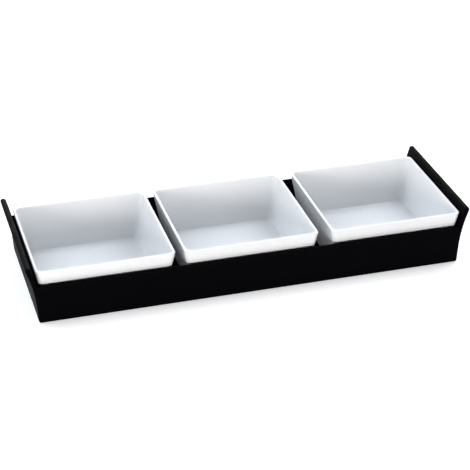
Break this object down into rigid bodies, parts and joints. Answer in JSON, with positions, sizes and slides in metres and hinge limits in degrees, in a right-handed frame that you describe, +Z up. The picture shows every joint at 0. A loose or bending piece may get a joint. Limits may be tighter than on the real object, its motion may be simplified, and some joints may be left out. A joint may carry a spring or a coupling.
{
  "type": "snack tray with lift-out bowls",
  "caption": "Long glossy black serving tray with low side walls and flared ends, holding loose square white bowls side by side.",
  "frame": {"origin": "centre of the tray's footprint, on the surface that the tray stands on", "axes": "+X along the tray to the right, +Z up, and -Y towards the viewer of the front long wall"},
  "size_m": [0.4002, 0.1344, 0.054],
  "materials": {
    "tray_plastic": "gloss black, like lacquer",
    "bowl_ceramic": "white gloss glaze"
  },
  "bodies": {
    "tray": {"tray": "tray_plastic"},
    "bowl_left": {"bowl_left": "bowl_ceramic"},
    "bowl_middle": {"bowl_middle": "bowl_ceramic"},
    "bowl_right": {"bowl_right": "bowl_ceramic"}
  },
  "joints": [
    {"name": "bowl_left_lift", "type": "slide", "parent": "tray", "child": "bowl_left", "axis": [0, 0, 1], "range_m": [0, 0.07]},
    {"name": "bowl_middle_lift", "type": "slide", "parent": "tray", "child": "bowl_middle", "axis": [0, 0, 1], "range_m": [0, 0.07]},
    {"name": "bowl_right_lift", "type": "slide", "parent": "tray", "child": "bowl_right", "axis": [0, 0, 1], "range_m": [0, 0.07]}
  ]
}
